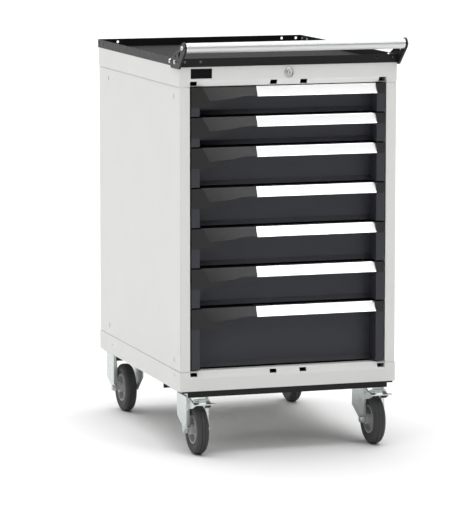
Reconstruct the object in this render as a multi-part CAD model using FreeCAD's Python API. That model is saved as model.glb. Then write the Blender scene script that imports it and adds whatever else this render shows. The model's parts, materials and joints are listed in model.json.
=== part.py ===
"""Mobile drawer cabinet on four castors: steel body, seven drawers, top tray and push handle.

The frame is x to the right, y to the back and z up from the floor, in millimetres.
While the pieces are made, x is 0 in the middle and y is 0 at the front face of the body.
Each piece is moved back by ORIGIN_Y when it is saved, so that the origin lies in the
middle of the whole length, on the floor.
"""
import FreeCAD
import Part
import math
import os
from FreeCAD import Vector

# Body
BODY_W = 564.0
BODY_D = 725.0
BODY_H = 800.0
SHEET = 1.5
BAND_H = 48.0
BAND_PROUD = 1.2
POST_W = 27.0
POST_DEPTH = 30.0
REAR_RETURN = 20.0
SEAM_H = 2.0
SEAM_D = 1.1
PANEL_SLOT_W = 4.0
PANEL_SLOT_H = 12.0
PANEL_SLOT_FRONT = 52.0
PANEL_SLOT_REAR = 90.0
PANEL_SLOT_RISE = 74.0
BAND_HOLE_R = 2.5
BAND_HOLE_FRONT = (48.0, 34.5)
BAND_HOLE_REAR = (117.0, 26.0)

# Inclined faces of the front rails, and their slots
TOP_RAIL_FLAT = 33.0
BASE_RAIL_FLAT = 31.0
RAIL_SETBACK = 8.0
RAIL_RETURN = 22.0
SLOT_W = 17.5
SLOT_H = 7.5
SLOT_POST_GAP = 10.0
SLOT_INNER_X = 39.0

# Drawer fronts, from the top down: units of height of each drawer
FRONT_UNITS = (3, 3, 4, 4, 4, 4, 6)
STACK_BASE = 51.0
STACK_HEAD = 48.5
BOTTOM_SKIRT = 5.5
FRONT_GAP = 3.5
FRONT_SIDE_GAP = 3.5
FRONT_SETBACK = 0.5
STRIP_W = 21.5
RECESS_D = 45.5
LIP_H = 11.0
LIP_REACH = 9.0
LIP_LIFT = 0.5

# Drawer tubs
DRAWER_SHEET = 1.2
TUB_SIDE_SPACE = 21.5
TUB_REAR_SPACE = 35.0
TUB_LIFT = 8.0
TUB_HEADROOM = 8.0

# Handle profile and its end caps
HANDLE_H = 25.0
HANDLE_LEAN = 12.5
HANDLE_WALL = 2.0
HANDLE_HOOK = 7.0
GRIP_LENGTH = 170.5
RIGHT_CAP_H = 26.5
LEFT_CAP_H = 50.0
CAP_WALL = 3.0
GRIP_FLAT_TOP = 28.0
GRIP_FLAT_BOTTOM = 49.0
GRIP_CURVE_START = 30.0
GRIP_CURVE_END = 152.0
GRIP_FACET_DROP = 34.0
CAP_END_DROP = 23.5

# Telescopic rails
RAIL_H = 30.0
RAIL_WALL = 1.5
RAIL_REACH = 9.0
CABINET_RAIL_REACH = 14.0
RAIL_CLEAR = 0.5
RAIL_HEAD = 4.0
RAIL_NECK = 10.0
RAIL_FRONT = 55.0
RAIL_LIFT = 28.0
RAIL_POST_GAP = 1.5

# Uprights that carry the rails
UPRIGHT_W = 40.0
UPRIGHT_DEPTH = 19.3
UPRIGHT_FRONT = 45.0
UPRIGHT_REAR_GAP = 85.0
UPRIGHT_SLOT_W = 18.0
UPRIGHT_SLOT_H = 4.0
UPRIGHT_SLOT_PITCH = 50.0

# Lock
LOCK_DROP = 18.6
LOCK_RING_R = 12.5
LOCK_RING_T = 4.0
LOCK_BORE_R = 9.0
LOCK_CUP_DEPTH = 3.0
LOCK_TUBE_R = 10.0
LOCK_TUBE_END = 18.0
BARREL_R = 6.5
BARREL_PROUD = 3.0
BARREL_FIT = 0.05
KEYWAY_W = 2.2
KEYWAY_H = 7.0
KEYWAY_DEPTH = 5.0
CAM_R = 12.0
CAM_T = 3.0
CAM_PIN_R = 2.0
CAM_ARM = 8.0
CAM_PIN_CLEAR = 0.5
LOCK_TURN = 90.0
BAR_FRONT = 31.5
BAR_T = 4.0
BAR_DEPTH = 13.0
BAR_POST_GAP = 2.5
BAR_ARM_H = 18.0
BAR_FOOT = 70.0
FINGER_H = 5.0
FINGER_REACH = 2.8
CATCH_LIFT = 50.0
CATCH_H = 8.0
CATCH_OUT = 2.7
CATCH_T = 3.5
CATCH_GAP = 3.0

# Top tray
TRAY_SHEET = 1.5
TRAY_H = 21.0
TRAY_FRONT = 2.0
TRAY_REAR = 7.0
TRAY_HOLE_R = 3.5
TRAY_HOLE_Z = 13.0
TRAY_HOLE_NEAR = 14.0
TRAY_HOLE_FAR = 54.0

# Push handle and its brackets
TUBE_R = 12.5
TUBE_WALL = 2.0
TUBE_Y = -49.0
TUBE_RISE = 50.0
BRACKET_T = 5.0
BRACKET_EYE_R = 14.5
BRACKET_DROP = 4.0
BRACKET_FRONT_FOOT = -9.0
BRACKET_REAR = 62.0
BRACKET_CORNER_R = 12.0
BRACKET_REAR_RISE = 16.0
WINDOW = ((-33.0, 44.0), (-7.0, 35.0), (-10.0, 19.5))
WINDOW_R = 3.0
BRACKET_HOLE = (16.0, 27.5)
BRACKET_HOLE_R = 3.0
PLUG_COLLAR = 4.5
PLUG_DEPTH = 22.0
BOLT_R = 3.2
BOLT_HEAD_R = 5.3
BOLT_HEAD_T = 5.0
NUT_T = 4.0

# Castors
CASTOR_H = 156.0
WHEEL_HEADROOM = 31.0
CASTOR_INSET = 50.5
TYRE_W = 30.0
TYRE_CORNER = 11.0
TYRE_INNER_R = 36.0
GROOVE_R = 1.0
RIM_T = 3.0
RIM_W = 26.0
WEB_T = 4.0
HUB_R = 13.0
HUB_HALF = 19.0
SPACER_R = 8.0
HUB_SIDE_GAP = 0.5
HUB_HOLE_R = 5.0
HUB_HOLE_RING = 24.5
HUB_HOLES = 5
AXLE_R = 5.0
AXLE_FIT = 0.05
AXLE_HEAD_R = 8.0
AXLE_HEAD_T = 6.5
AXLE_NUT_T = 2.5
FRONT_AXLE_Y = 22.0
REAR_AXLE_INSET = 69.0
FORK_WALL = 3.0
FORK_GAP = 0.3
EYE_R = 10.0
EYE_CLEAR = 1.0
PLATE_T = 5.0
PLATE_BOLT_R = 4.0
PLATE_NUT_R = 6.5
PLATE_NUT_T = 4.5

# Swivelling front fork: its y is counted from the axle, its drops from the castor's top
FORK_HALF = 29.0
FORK_OFFSET = 30.0
LEG_FRONT = -5.0
LEG_REAR = 74.0
LEG_BEND_DROP = 68.0
LEG_FLANGE = 9.0
CROWN_DROP = 11.5
ARM_TIP = -52.0
ARM_TIP_DROP = 25.0
ARM_TIP_H = 4.0
ARM_CHIN_Y = -38.0
ARM_CHIN_DROP = 35.5
ARM_ROOT_DROP = 42.5
PLATE_HALF = 30.0
PLATE_REACH = 47.0
PLATE_BOLT_X = 22.0
PLATE_BOLT_Y = 38.0
RACE_R = 24.0
KING_PIN_R = 6.0
KING_PIN_FIT = 0.05
KING_NUT_R = 10.0
KING_NUT_T = 4.0

# Fixed rear fork: its y is counted from the axle, its drops from the castor's top
FIXED_HALF = 32.0
FIXED_LEFT = (4.0, 72.0)
FIXED_LEFT_DROP = 73.0
FIXED_RIGHT = (-58.0, 42.0)
FIXED_RIGHT_DROP = 59.0
FIXED_FLANGE = 10.0
FIXED_BOLT_Y = (-33.0, 47.0)
FIXED_HOLE_Y = -8.0
FIXED_HOLE_DROP = 79.5
FIXED_HOLE_R = 3.0

# Brake pedal: its y is counted from the axle, its drops from the castor's top
PEDAL_PIVOT_Y = -12.0
PEDAL_PIVOT_DROP = 24.5
PEDAL_PIN_R = 2.5
PEDAL_PIN_FIT = 0.05
PEDAL_TUBE_R = 4.5
PEDAL_SIDE_GAP = 0.8
PEDAL_T = 2.5
PEDAL_STEP_Y = -40.0
PEDAL_STEP_DROP = 13.5
PEDAL_STEP_DEPTH = 7.0
PEDAL_STEP_H = 3.5
PEDAL_NECK_HALF = 9.5
PEDAL_TREAD_DROP = 21.5
PEDAL_TREAD_Y = -57.0
PEDAL_REACH = -67.0
PEDAL_HALF = 27.0

# Channels between the body and the castors
CHANNEL_T = 4.0
CHANNEL_H = 15.0
CHANNEL_INSET = 6.0
CHANNEL_NOTCH = 21.0
FRONT_CHANNEL = (0.5, 161.0)
REAR_CHANNEL_GAP = (135.0, 5.0)

# Places that follow from the sizes above
HALF_W = BODY_W / 2
BODY_Z = CASTOR_H + CHANNEL_T
TOP_Z = BODY_Z + BODY_H
PANEL_X = HALF_W - BAND_PROUD
POST_IN = HALF_W - POST_W
OPEN_BASE = BODY_Z + STACK_BASE
TUBE_Z = TOP_Z + TUBE_RISE
LOCK_Z = TOP_Z - LOCK_DROP
WHEEL_R = (CASTOR_H - WHEEL_HEADROOM) / 2
AXLE_Z = WHEEL_R
FRONT_HALF = POST_IN - FRONT_SIDE_GAP
CHEEK_X = FRONT_HALF - STRIP_W
PANEL_Y = FRONT_SETBACK + RECESS_D
PITCH = (BODY_H - STACK_BASE - BOTTOM_SKIRT - STACK_HEAD) / sum(FRONT_UNITS)
MIDDLE_OUT = POST_IN - RAIL_POST_GAP
CABINET_RAIL_OUT = PANEL_X - SHEET - UPRIGHT_DEPTH
TUB_HALF = MIDDLE_OUT - TUB_SIDE_SPACE
TUB_BACK = BODY_D - TUB_REAR_SPACE
UPRIGHT_REAR = BODY_D - UPRIGHT_REAR_GAP
BAR_INNER = POST_IN + BAR_POST_GAP
HANDLE_LEFT = GRIP_LENGTH - FRONT_HALF
HANDLE_RIGHT = CHEEK_X + 1.0
CASTOR_X = HALF_W - CASTOR_INSET
CROWN_TOP = CASTOR_H - CROWN_DROP
LEG_BEND_Z = CASTOR_H - LEG_BEND_DROP
ARM_TIP_TOP = CASTOR_H - ARM_TIP_DROP
PEDAL_PIVOT_Z = CASTOR_H - PEDAL_PIVOT_DROP
PEDAL_STEP_Z = CASTOR_H - PEDAL_STEP_DROP
PEDAL_TREAD_Z = CASTOR_H - PEDAL_TREAD_DROP
REAR_AXLE_Y = BODY_D - REAR_AXLE_INSET
REAR_CHANNEL = (BODY_D - REAR_CHANNEL_GAP[0], BODY_D - REAR_CHANNEL_GAP[1])
TRAY_HALF = HALF_W
FRONT_MOST = TUBE_Y - BRACKET_EYE_R
REAR_MOST = BODY_D + TRAY_REAR
ORIGIN_Y = -(FRONT_MOST + REAR_MOST) / 2


def drawer_levels():
    """Bottom and top of each drawer front, from the top drawer down."""
    levels = []
    top = TOP_Z - STACK_HEAD
    for units in FRONT_UNITS:
        levels.append((top - PITCH * units + FRONT_GAP / 2, top - FRONT_GAP / 2))
        top -= PITCH * units
    levels[-1] = (levels[-1][0] - BOTTOM_SKIRT, levels[-1][1])
    return levels


# Helpers

def block(x, y, z):
    """Box between the low and high values of x, y and z."""
    size = (x[1] - x[0], y[1] - y[0], z[1] - z[0])
    return Part.makeBox(*size, Vector(x[0], y[0], z[0]))


def rod(radius, start, end):
    """Cylinder from one point to another."""
    start = Vector(*start)
    run = Vector(*end) - start
    return Part.makeCylinder(radius, run.Length, start, run)


def hexagon(across, start, end):
    """Hexagonal prism from one point to another, given its corner radius."""
    start = Vector(*start)
    run = Vector(*end) - start
    turn = FreeCAD.Rotation(Vector(0, 0, 1), run)
    corners = [Vector(across * math.cos(k * math.pi / 3), across * math.sin(k * math.pi / 3), 0)
               for k in range(6)]
    corners = [start + turn.multVec(corner) for corner in corners]
    return Part.Face(Part.makePolygon(corners + corners[:1])).extrude(run)


def along_x(points, low, high):
    """Prism of a (y, z) outline between two values of x."""
    outline = [Vector(low, y, z) for y, z in points]
    return Part.Face(Part.makePolygon(outline + outline[:1])).extrude(Vector(high - low, 0, 0))


def along_y(points, low, high):
    """Prism of an (x, z) outline between two values of y."""
    outline = [Vector(x, low, z) for x, z in points]
    return Part.Face(Part.makePolygon(outline + outline[:1])).extrude(Vector(0, high - low, 0))


def along_z(points, low, high):
    """Prism of an (x, y) outline between two values of z."""
    outline = [Vector(x, y, low) for x, y in points]
    return Part.Face(Part.makePolygon(outline + outline[:1])).extrude(Vector(0, 0, high - low))


def folded(points, thickness):
    """Closed outline of a sheet folded along an open line, thickened to the left of travel."""
    offset = []
    normals = []
    for (a0, b0), (a1, b1) in zip(points, points[1:]):
        length = math.hypot(a1 - a0, b1 - b0)
        normals.append((-(b1 - b0) / length, (a1 - a0) / length))
    for index, (a, b) in enumerate(points):
        before = normals[max(index - 1, 0)]
        after = normals[min(index, len(normals) - 1)]
        scale = thickness / (1 + before[0] * after[0] + before[1] * after[1])
        offset.append((a + scale * (before[0] + after[0]), b + scale * (before[1] + after[1])))
    return list(points) + offset[::-1]


def joined(shapes):
    """One solid from several that meet."""
    return shapes[0].multiFuse(list(shapes[1:])).removeSplitter()


def mirrored(shape):
    """The same shape on the other side of the middle plane."""
    return shape.mirror(Vector(0, 0, 0), Vector(1, 0, 0))


def moved(shape, x=0.0, y=0.0, z=0.0):
    """A copy of the shape, shifted."""
    copy = shape.copy()
    copy.translate(Vector(x, y, z))
    return copy


def save(name, *shapes):
    """Write the solids of one node, shifted into the part's own frame."""
    solids = []
    for shape in shapes:
        solids += moved(shape, y=ORIGIN_Y).Solids
    whole = solids[0] if len(solids) == 1 else Part.makeCompound(solids)
    whole.exportStep("parts/" + name + ".step")


# Body

def panel_seams():
    """Shallow grooves round the right panel, where it meets the top and bottom bands."""
    cutters = []
    for low in (TOP_Z - BAND_H - SEAM_H, BODY_Z + BAND_H):
        z = (low, low + SEAM_H)
        cutters.append(block((PANEL_X - SEAM_D, HALF_W), (0, BODY_D), z))
        cutters.append(block((POST_IN - 1, HALF_W), (0, BAND_PROUD + SEAM_D), z))
    return cutters


def panel_slots():
    """Upright slots near the four corners of the right panel."""
    cutters = []
    for y in (PANEL_SLOT_FRONT, BODY_D - PANEL_SLOT_REAR):
        for z in (BODY_Z + PANEL_SLOT_RISE, TOP_Z - PANEL_SLOT_RISE):
            width = (y - PANEL_SLOT_W / 2, y + PANEL_SLOT_W / 2)
            height = (z - PANEL_SLOT_H / 2, z + PANEL_SLOT_H / 2)
            cutters.append(block((PANEL_X - SHEET - 1, PANEL_X + 1), width, height))
    return cutters


def band_holes():
    """Small holes through the bottom band and the panel, on the right."""
    spots = [(BAND_HOLE_FRONT[0], BAND_HOLE_FRONT[1]), (BODY_D - BAND_HOLE_REAR[0], BAND_HOLE_REAR[1])]
    inner = PANEL_X - SHEET - 1
    return [rod(BAND_HOLE_R, (inner, y, BODY_Z + z), (HALF_W + 1, y, BODY_Z + z)) for y, z in spots]


def side_panel():
    """Right side panel: one sheet folded into the front post and the rear return."""
    inner = POST_IN
    front = BAND_PROUD
    back = BODY_D - BAND_PROUD
    line = [
        (inner, front + POST_DEPTH),
        (inner, front),
        (PANEL_X, front),
        (PANEL_X, back),
        (PANEL_X - REAR_RETURN, back),
    ]
    panel = along_z(folded(line, SHEET), BODY_Z + SHEET, TOP_Z - SHEET)
    return panel.cut(Part.makeCompound(panel_seams() + panel_slots() + band_holes()))


def band(low, high, sheet_low):
    """Box-shaped band round the body with its flat sheet at the top or at the bottom."""
    outer = block((-HALF_W, HALF_W), (0, BODY_D), (low, high))
    hollow_low = low + SHEET if sheet_low else low
    hollow_high = high if sheet_low else high - SHEET
    proud = BAND_PROUD
    hollow = block((-HALF_W + proud, HALF_W - proud), (proud, BODY_D - proud),
                   (hollow_low, hollow_high))
    return outer.cut(hollow)


def rail_slots(z, y, lean):
    """Four rectangular cutters through an inclined rail face."""
    cutters = []
    outer = POST_IN - SLOT_POST_GAP
    for x in (-outer, -SLOT_INNER_X, SLOT_INNER_X, outer):
        cutter = block((-SLOT_W / 2, SLOT_W / 2), (-RAIL_SETBACK, RAIL_SETBACK),
                       (-SLOT_H / 2, SLOT_H / 2))
        cutter.rotate(Vector(0, 0, 0), Vector(1, 0, 0), lean)
        cutters.append(moved(cutter, x, y, z))
    return cutters


def front_rail(flat_z, edge_z, far_z):
    """Folded rail between the posts: flat face, inclined face and inward return."""
    line = [
        (0, far_z),
        (0, flat_z),
        (RAIL_SETBACK, edge_z),
        (RAIL_SETBACK + RAIL_RETURN, edge_z),
    ]
    upward = flat_z < edge_z
    thickness = -SHEET if upward else SHEET
    rail = along_x(folded(line, thickness), -POST_IN, POST_IN)
    mid_z = (flat_z + edge_z) / 2
    lean = math.degrees(math.atan2(RAIL_SETBACK, abs(edge_z - flat_z)))
    return rail, rail_slots(mid_z, RAIL_SETBACK / 2, lean if upward else -lean)


def top_cap():
    """Top sheet with its bands and the slotted front rail."""
    cap = band(TOP_Z - BAND_H, TOP_Z, False)
    flat = TOP_Z - TOP_RAIL_FLAT
    cap = cap.cut(block((-POST_IN, POST_IN), (-1, BAND_PROUD), (TOP_Z - BAND_H - 1, TOP_Z - SHEET)))
    rail, slots = front_rail(flat, TOP_Z - BAND_H, TOP_Z)
    cap = joined([cap, rail]).cut(Part.makeCompound(slots))
    return cap.cut(rod(LOCK_TUBE_R, (0, -1, LOCK_Z), (0, SHEET + 1, LOCK_Z)))


def base_plinth():
    """Bottom sheet with its bands and the slotted front rail."""
    plinth = band(BODY_Z, BODY_Z + BAND_H, True)
    flat = BODY_Z + BASE_RAIL_FLAT
    plinth = plinth.cut(block((-POST_IN, POST_IN), (-1, BAND_PROUD),
                              (BODY_Z + SHEET, BODY_Z + BAND_H + 1)))
    rail, slots = front_rail(flat, OPEN_BASE - 1, BODY_Z)
    holes = band_holes()
    holes += [mirrored(hole) for hole in holes]
    return joined([plinth, rail]).cut(Part.makeCompound(slots + holes))


def back_panel():
    """Flat sheet inside the rear returns of the side panels."""
    back = BODY_D - BAND_PROUD - SHEET
    side = PANEL_X - SHEET
    return block((-side, side), (back - SHEET, back), (BODY_Z + SHEET, TOP_Z - SHEET))


def upright(front):
    """Right slotted upright: a channel between the side panel and the rails."""
    outer = PANEL_X - SHEET
    inner = CABINET_RAIL_OUT
    line = [
        (outer, front),
        (inner, front),
        (inner, front + UPRIGHT_W),
        (outer, front + UPRIGHT_W),
    ]
    channel = along_z(folded(line, -SHEET), BODY_Z + SHEET, TOP_Z - SHEET)
    slots = []
    middle = front + UPRIGHT_W / 2
    z = BODY_Z + BAND_H
    while z < TOP_Z - BAND_H:
        slots.append(block((inner - 1, inner + SHEET + 1),
                           (middle - UPRIGHT_SLOT_W / 2, middle + UPRIGHT_SLOT_W / 2),
                           (z, z + UPRIGHT_SLOT_H)))
        z += UPRIGHT_SLOT_PITCH
    return channel.cut(Part.makeCompound(slots))


# Telescopic rails, on the right side

def c_rail(web, tip, z, wall):
    """C profile in x and z with its web at one x and its open side at another."""
    inward = -1 if tip < web else 1
    half = RAIL_H / 2
    line = [(tip, z + half), (web, z + half), (web, z - half), (tip, z - half)]
    return folded(line, inward * wall)


def cabinet_rail(z):
    """Rail that is fixed to the uprights."""
    web = CABINET_RAIL_OUT
    return along_y(c_rail(web, web - CABINET_RAIL_REACH, z, RAIL_WALL), RAIL_FRONT, TUB_BACK)


def drawer_rail(z):
    """Rail that is welded to the side of a tub."""
    return along_y(c_rail(TUB_HALF, TUB_HALF + RAIL_REACH, z, RAIL_WALL), RAIL_FRONT, TUB_BACK)


def middle_rail(z):
    """Rail with a head in each of the two C rails, and a neck between them."""
    half = RAIL_H / 2 - RAIL_WALL - RAIL_CLEAR
    neck = RAIL_NECK / 2
    inner = TUB_HALF + RAIL_WALL + RAIL_CLEAR
    right = [
        (inner, z - half),
        (inner + RAIL_HEAD, z - half),
        (inner + RAIL_HEAD, z - neck),
        (MIDDLE_OUT - RAIL_HEAD, z - neck),
        (MIDDLE_OUT - RAIL_HEAD, z - half),
        (MIDDLE_OUT, z - half),
    ]
    outline = right + [(x, 2 * z - height) for x, height in reversed(right)]
    return along_y(outline, RAIL_FRONT, TUB_BACK)


# Drawers

def strip_channel(top, base):
    """Right side strip: front face with the inner cheek and the outer return."""
    line = [
        (CHEEK_X, PANEL_Y + DRAWER_SHEET),
        (CHEEK_X, FRONT_SETBACK),
        (FRONT_HALF, FRONT_SETBACK),
        (FRONT_HALF, PANEL_Y + DRAWER_SHEET),
    ]
    return along_z(folded(line, DRAWER_SHEET), base, top)


def drawer_front(base, top):
    """Folded front panel with its lip, and the strip at each side of it."""
    panel = along_x(folded([
        (PANEL_Y - LIP_REACH, base + LIP_LIFT),
        (PANEL_Y, base + LIP_LIFT + LIP_H),
        (PANEL_Y, top - FRONT_SETBACK),
    ], -DRAWER_SHEET), -CHEEK_X, CHEEK_X)
    right = strip_channel(top - RIGHT_CAP_H, base)
    left = strip_channel(top - LEFT_CAP_H, base)
    return panel, right, mirrored(left)


def drawer_walls(base, top):
    """Floor, right side, left side and back of a tub, each a flat sheet."""
    sheet = DRAWER_SHEET
    near = PANEL_Y + sheet
    floor = base + TUB_LIFT
    upright_z = (floor + sheet, top - TUB_HEADROOM)
    bottom = block((-TUB_HALF, TUB_HALF), (near, TUB_BACK), (floor, floor + sheet))
    side = block((TUB_HALF - sheet, TUB_HALF), (near, TUB_BACK), upright_z)
    inner = TUB_HALF - sheet
    back = block((-inner, inner), (TUB_BACK - sheet, TUB_BACK), upright_z)
    return bottom, side, mirrored(side), back


def drawer_tub(base, top):
    """Front, walls, a rail on each side and the catch for the lock bar."""
    catch_y = PANEL_Y + CATCH_GAP
    catch = block((TUB_HALF, FRONT_HALF + CATCH_OUT), (catch_y, catch_y + CATCH_T),
                  (base + CATCH_LIFT, base + CATCH_LIFT + CATCH_H))
    rail = drawer_rail(base + RAIL_LIFT)
    return [*drawer_front(base, top), *drawer_walls(base, top), rail, mirrored(rail), catch]


def handle_profile(top):
    """Extruded aluminium handle: leg on the panel, top, leaning face and finger hook."""
    low = top - HANDLE_H
    line = [
        (PANEL_Y, top - HANDLE_LEAN),
        (PANEL_Y, top - FRONT_SETBACK),
        (HANDLE_LEAN, top - FRONT_SETBACK),
        (FRONT_SETBACK, low),
        (FRONT_SETBACK + HANDLE_HOOK, low),
    ]
    return along_x(folded(line, HANDLE_WALL), HANDLE_LEFT, HANDLE_RIGHT)


def right_cap(top):
    """Short moulded block at the right end of the handle."""
    depth = (FRONT_SETBACK, PANEL_Y)
    cap = block((HANDLE_RIGHT, FRONT_HALF), depth, (top - RIGHT_CAP_H, top))
    hollow = block((HANDLE_RIGHT + CAP_WALL, FRONT_HALF - CAP_WALL),
                   (FRONT_SETBACK + CAP_WALL, PANEL_Y - CAP_WALL),
                   (top - RIGHT_CAP_H - 1, top - CAP_WALL))
    return cap.cut(hollow)


def left_cap(top):
    """Long moulded grip: flat block, leaning facet and rising lower edge."""
    left = -FRONT_HALF
    low = top - LEFT_CAP_H
    end_low = top - CAP_END_DROP
    start = Vector(left + GRIP_CURVE_START, FRONT_SETBACK, low)
    finish = Vector(left + GRIP_CURVE_END, FRONT_SETBACK, end_low)
    reach = (finish.x - start.x) / 2
    curve = Part.BezierCurve()
    curve.setPoles([start, start + Vector(reach, 0, 0), finish - Vector(reach, 0, 0), finish])
    corners = [
        finish,
        Vector(HANDLE_LEFT, FRONT_SETBACK, end_low),
        Vector(HANDLE_LEFT, FRONT_SETBACK, top),
        Vector(left, FRONT_SETBACK, top),
        Vector(left, FRONT_SETBACK, low),
        start,
    ]
    edges = [Part.makeLine(a, b) for a, b in zip(corners, corners[1:])]
    outline = Part.Wire(Part.__sortEdges__(edges + [curve.toShape()]))
    cap = Part.Face(outline).extrude(Vector(0, PANEL_Y - FRONT_SETBACK, 0))
    hollow_left = left + STRIP_W + CAP_WALL
    hollow = block((hollow_left, HANDLE_LEFT - CAP_WALL),
                   (FRONT_SETBACK + HANDLE_LEAN + CAP_WALL, PANEL_Y - CAP_WALL),
                   (low - 1, top - CAP_WALL))
    strip_hollow = block((left + CAP_WALL, left + STRIP_W - CAP_WALL),
                         (FRONT_SETBACK + CAP_WALL, PANEL_Y - CAP_WALL),
                         (low - 1, top - CAP_WALL))
    return cap.cut(hollow).cut(strip_hollow).cut(grip_facet(top))


def grip_facet(top):
    """Wedge that a left cap loses in front of its leaning facet."""
    left = -FRONT_HALF
    over = 1.0
    front = FRONT_SETBACK - over

    def section(x_top, x_low, drop):
        """Triangle across the wedge, with its lower corner on the front face."""
        slope = (HANDLE_LEAN - FRONT_SETBACK) / drop
        return Part.makePolygon([
            Vector(x_low, front, top - drop - over / slope),
            Vector(x_top, HANDLE_LEAN + over * slope, top + over),
            Vector(x_top, front, top + over),
            Vector(x_low, front, top - drop - over / slope),
        ])

    near = section(left + GRIP_FLAT_TOP, left + GRIP_FLAT_BOTTOM, GRIP_FACET_DROP)
    far = section(HANDLE_LEFT + over, HANDLE_LEFT + over, CAP_END_DROP)
    return Part.makeLoft([near, far], True, True)


# Lock

def lock_housing():
    """Dished ring on the rail, with its threaded tube and nut behind it."""
    ring = rod(LOCK_RING_R, (0, -LOCK_RING_T, LOCK_Z), (0, 0, LOCK_Z))
    ring = ring.makeChamfer(1.2, [ring.Edges[edge] for edge in (0, 2)
                                  if abs(ring.Edges[edge].CenterOfMass.y + LOCK_RING_T) < 0.01])
    tube = rod(LOCK_TUBE_R, (0, 0, LOCK_Z), (0, LOCK_TUBE_END, LOCK_Z))
    nut = hexagon(LOCK_RING_R + 2, (0, SHEET, LOCK_Z), (0, SHEET + NUT_T, LOCK_Z))
    cup = rod(LOCK_BORE_R, (0, -LOCK_RING_T - 1, LOCK_Z), (0, LOCK_CUP_DEPTH - LOCK_RING_T, LOCK_Z))
    bore = rod(BARREL_R + BARREL_FIT, (0, -LOCK_RING_T - 1, LOCK_Z), (0, LOCK_TUBE_END + 1, LOCK_Z))
    return joined([ring, tube, nut]).cut(cup).cut(bore)


def cam_pin_offset(sign):
    """Height of the cam pin from the lock's axis, at rest with -1 and locked with 1."""
    return sign * CAM_ARM * math.sin(math.radians(LOCK_TURN / 2))


def lock_barrel():
    """Barrel with keyway, cam disc and the pin that lifts the lock bar."""
    front = -LOCK_RING_T - BARREL_PROUD + LOCK_CUP_DEPTH
    cam_back = BAR_FRONT - CAM_PIN_CLEAR
    barrel = rod(BARREL_R, (0, front, LOCK_Z), (0, cam_back - CAM_T, LOCK_Z))
    disc = rod(CAM_R, (0, cam_back - CAM_T, LOCK_Z), (0, cam_back, LOCK_Z))
    pin_x = CAM_ARM * math.cos(math.radians(LOCK_TURN / 2))
    pin_z = LOCK_Z + cam_pin_offset(-1)
    pin = rod(CAM_PIN_R, (pin_x, cam_back - CAM_T, pin_z), (pin_x, BAR_FRONT + BAR_T, pin_z))
    keyway = block((-KEYWAY_W / 2, KEYWAY_W / 2), (front - 1, front + KEYWAY_DEPTH),
                   (LOCK_Z - KEYWAY_H / 2, LOCK_Z + KEYWAY_H / 2))
    return joined([barrel, disc, pin]).cut(keyway)


def lock_bar(levels):
    """Upright bar, slotted arm at the cam and a finger at each drawer."""
    arm_z = LOCK_Z + cam_pin_offset(-1)
    right = BAR_INNER + BAR_T
    thickness = (BAR_FRONT, BAR_FRONT + BAR_T)
    arm = block((-CAM_PIN_R, BAR_INNER), thickness, (arm_z - BAR_ARM_H / 2, arm_z + BAR_ARM_H / 2))
    stem = block((BAR_INNER, right), (BAR_FRONT, BAR_FRONT + BAR_DEPTH),
                 (BODY_Z + BAR_FOOT, arm_z + BAR_ARM_H / 2))
    fingers = []
    for base, _ in levels:
        finger_top = base + CATCH_LIFT - CATCH_GAP
        fingers.append(block((POST_IN - FINGER_REACH, BAR_INNER), (BAR_FRONT, BAR_FRONT + BAR_DEPTH),
                             (finger_top - FINGER_H, finger_top)))
    half = CAM_PIN_R + CAM_PIN_CLEAR
    low_x = CAM_ARM * math.cos(math.radians(LOCK_TURN / 2)) - half
    slot = block((low_x, CAM_ARM + half), (BAR_FRONT - 1, BAR_FRONT + BAR_T + 1),
                 (arm_z - half, arm_z + half))
    return [stem, arm.cut(slot)] + fingers


# Top tray

def top_tray():
    """Open tray: floor sheet and four upstands, with two holes near each end of each upstand."""
    sheet = TRAY_SHEET
    x = (-TRAY_HALF, TRAY_HALF)
    y = (-TRAY_FRONT, BODY_D + TRAY_REAR)
    floor = TOP_Z + sheet
    rim = TOP_Z + TRAY_H
    hole_z = TOP_Z + TRAY_HOLE_Z
    reaches = (TRAY_HOLE_NEAR, TRAY_HOLE_FAR)
    inside_y = (y[0] + sheet, y[1] - sheet)
    bottom = block((x[0] + sheet, x[1] - sheet), inside_y, (TOP_Z, floor))
    long_holes = []
    for hole_x in [x[0] + reach for reach in reaches] + [x[1] - reach for reach in reaches]:
        long_holes.append(rod(TRAY_HOLE_R, (hole_x, y[0] - 1, hole_z), (hole_x, y[1] + 1, hole_z)))
    front = block(x, (y[0], inside_y[0]), (TOP_Z, rim)).cut(Part.makeCompound(long_holes))
    rear = block(x, (inside_y[1], y[1]), (TOP_Z, rim)).cut(Part.makeCompound(long_holes))
    side_holes = []
    for hole_y in [y[0] + reach for reach in reaches] + [y[1] - reach for reach in reaches]:
        side_holes.append(rod(TRAY_HOLE_R, (x[1] - sheet - 1, hole_y, hole_z), (x[1] + 1, hole_y, hole_z)))
    right = block((x[1] - sheet, x[1]), inside_y, (TOP_Z, rim))
    right = right.cut(Part.makeCompound(side_holes))
    return bottom, front, rear, right, mirrored(right)


# Push handle

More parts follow.
